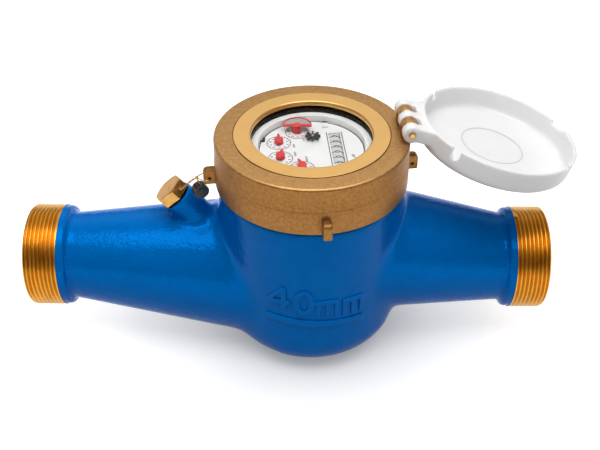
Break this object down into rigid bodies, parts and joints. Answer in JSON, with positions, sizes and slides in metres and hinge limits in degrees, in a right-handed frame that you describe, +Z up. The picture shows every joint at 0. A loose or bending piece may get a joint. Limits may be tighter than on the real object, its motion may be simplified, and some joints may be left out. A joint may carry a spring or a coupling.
{
  "type": "water meter",
  "caption": "Threaded pipe water meter: cast body around a measuring impeller, a dial with pointers and number drums under a lens, a screw ring with hinged lid, and a wired regulator plug.",
  "frame": {"origin": "middle of the bowl's flat base, on the bowl's axis", "axes": "+X along the flow, inlet to outlet; +Z up, out of the dial"},
  "size_m": [0.3097, 0.1192, 0.1432],
  "materials": {
    "enamel": "gloss enamel",
    "cast_brass": "blasted casting",
    "brass": "machined",
    "white": "moulded",
    "acetal": "moulded",
    "amber": "moulded",
    "red": "moulded",
    "black": "moulded",
    "rubber": "moulded",
    "steel": "bright",
    "seal": "crimped",
    "lens": "clear"
  },
  "bodies": {
    "meter": {"meter_body": "enamel", "strainer": "acetal", "measuring_chamber": "amber", "chamber_cover": "amber", "pivot_pin": "steel", "pressure_plate": "brass", "plate_seal": "rubber", "register_cup": "white", "dial_plate": "white", "drum_axle": "steel", "lens_gasket": "rubber", "lens": "lens", "clamp_ring": "cast_brass", "hinge_pin": "brass", "regulating_screw": "brass", "plug_washer": "rubber", "regulator_plug": "brass", "seal_wire": "brass", "wire_seal": "seal"},
    "cover_lid": {"lid": "white"},
    "rotor": {"impeller": "acetal", "rotor_shaft": "steel", "drive_magnet": "black"},
    "follower": {"follower_magnet": "black", "follower_spindle": "acetal"},
    "star": {"star_spindle": "acetal", "flow_star": "black"},
    "lead_pointer": {"pointer_wheel_1": "acetal", "pointer_1": "red", "target_disc": "steel"},
    "second_pointer": {"pointer_wheel_2": "acetal", "pointer_2": "red"},
    "third_pointer": {"pointer_wheel_3": "acetal", "pointer_3": "red"},
    "fourth_pointer": {"pointer_wheel_4": "acetal", "pointer_4": "red"},
    "idler_1_body": {"idler_wheel_1": "acetal"},
    "idler_2_body": {"idler_wheel_2": "acetal"},
    "idler_3_body": {"idler_wheel_3": "acetal"},
    "drum_1_body": {"drum_1": "white"},
    "drum_2_body": {"drum_2": "white"},
    "drum_3_body": {"drum_3": "white"},
    "drum_4_body": {"drum_4": "white"},
    "drum_5_body": {"drum_5": "white"},
    "drum_6_body": {"drum_6": "white"}
  },
  "joints": [
    {"name": "lid_hinge", "type": "hinge", "parent": "meter", "child": "cover_lid", "pos_m": [0.05142, 0.00432, 0.1383], "axis": [-0.0837, 0.9965, 0], "range_deg": [-193, 0]},
    {"name": "rotor_spin", "type": "hinge", "parent": "meter", "child": "rotor", "pos_m": [0, 0, 0.05], "axis": [0, 0, 1], "continuous": true},
    {"name": "follower_spin", "type": "hinge", "parent": "meter", "child": "follower", "pos_m": [0, 0, 0.1119], "axis": [0, 0, 1], "continuous": true},
    {"name": "star_spin", "type": "hinge", "parent": "meter", "child": "star", "pos_m": [0.00055, 0.01049, 0.1119], "axis": [0, 0, 1], "continuous": true},
    {"name": "lead_pointer_spin", "type": "hinge", "parent": "meter", "child": "lead_pointer", "pos_m": [-0.00817, 0.01721, 0.1119], "axis": [0, 0, 1], "continuous": true},
    {"name": "idler_1_spin", "type": "hinge", "parent": "meter", "child": "idler_1_body", "pos_m": [-0.01151, 0.00967, 0.1119], "axis": [0, 0, 1], "continuous": true},
    {"name": "second_pointer_spin", "type": "hinge", "parent": "meter", "child": "second_pointer", "pos_m": [-0.0181, 0.00595, 0.1119], "axis": [0, 0, 1], "continuous": true},
    {"name": "idler_2_spin", "type": "hinge", "parent": "meter", "child": "idler_2_body", "pos_m": [-0.01494, -0.00167, 0.1119], "axis": [0, 0, 1], "continuous": true},
    {"name": "third_pointer_spin", "type": "hinge", "parent": "meter", "child": "third_pointer", "pos_m": [-0.01679, -0.009, 0.1119], "axis": [0, 0, 1], "continuous": true},
    {"name": "idler_3_spin", "type": "hinge", "parent": "meter", "child": "idler_3_body", "pos_m": [-0.00909, -0.01197, 0.1119], "axis": [0, 0, 1], "continuous": true},
    {"name": "fourth_pointer_spin", "type": "hinge", "parent": "meter", "child": "fourth_pointer", "pos_m": [-0.00506, -0.01837, 0.1119], "axis": [0, 0, 1], "continuous": true},
    {"name": "drum_6_spin", "type": "hinge", "parent": "meter", "child": "drum_6_body", "pos_m": [0.01492, -0.01162, 0.11645], "axis": [-0.0872, 0.9962, 0], "continuous": true},
    {"name": "drum_5_spin", "type": "hinge", "parent": "meter", "child": "drum_5_body", "pos_m": [0.01447, -0.00649, 0.11645], "axis": [-0.0872, 0.9962, 0], "continuous": true},
    {"name": "drum_4_spin", "type": "hinge", "parent": "meter", "child": "drum_4_body", "pos_m": [0.01402, -0.00136, 0.11645], "axis": [-0.0872, 0.9962, 0], "continuous": true},
    {"name": "drum_3_spin", "type": "hinge", "parent": "meter", "child": "drum_3_body", "pos_m": [0.01357, 0.00377, 0.11645], "axis": [-0.0872, 0.9962, 0], "continuous": true},
    {"name": "drum_2_spin", "type": "hinge", "parent": "meter", "child": "drum_2_body", "pos_m": [0.01312, 0.0089, 0.11645], "axis": [-0.0872, 0.9962, 0], "continuous": true},
    {"name": "drum_1_spin", "type": "hinge", "parent": "meter", "child": "drum_1_body", "pos_m": [0.01268, 0.01403, 0.11645], "axis": [-0.0872, 0.9962, 0], "continuous": true}
  ],
  "couplings": [
    {"joint": "follower_spin", "follows": "rotor_spin", "ratio": 1},
    {"joint": "star_spin", "follows": "rotor_spin", "ratio": -0.4},
    {"joint": "lead_pointer_spin", "follows": "rotor_spin", "ratio": 0.25714},
    {"joint": "idler_1_spin", "follows": "rotor_spin", "ratio": -0.082286},
    {"joint": "second_pointer_spin", "follows": "rotor_spin", "ratio": 0.025714},
    {"joint": "idler_2_spin", "follows": "rotor_spin", "ratio": -0.0082286},
    {"joint": "third_pointer_spin", "follows": "rotor_spin", "ratio": 0.0025714},
    {"joint": "idler_3_spin", "follows": "rotor_spin", "ratio": -0.00082286},
    {"joint": "fourth_pointer_spin", "follows": "rotor_spin", "ratio": 0.00025714},
    {"joint": "drum_6_spin", "follows": "rotor_spin", "ratio": -0.000025714},
    {"joint": "drum_5_spin", "follows": "rotor_spin", "ratio": -0.0000025714},
    {"joint": "drum_4_spin", "follows": "rotor_spin", "ratio": -0.00000025714},
    {"joint": "drum_3_spin", "follows": "rotor_spin", "ratio": -0.000000025714},
    {"joint": "drum_2_spin", "follows": "rotor_spin", "ratio": -0.0000000025714},
    {"joint": "drum_1_spin", "follows": "rotor_spin", "ratio": -0.00000000025714}
  ]
}
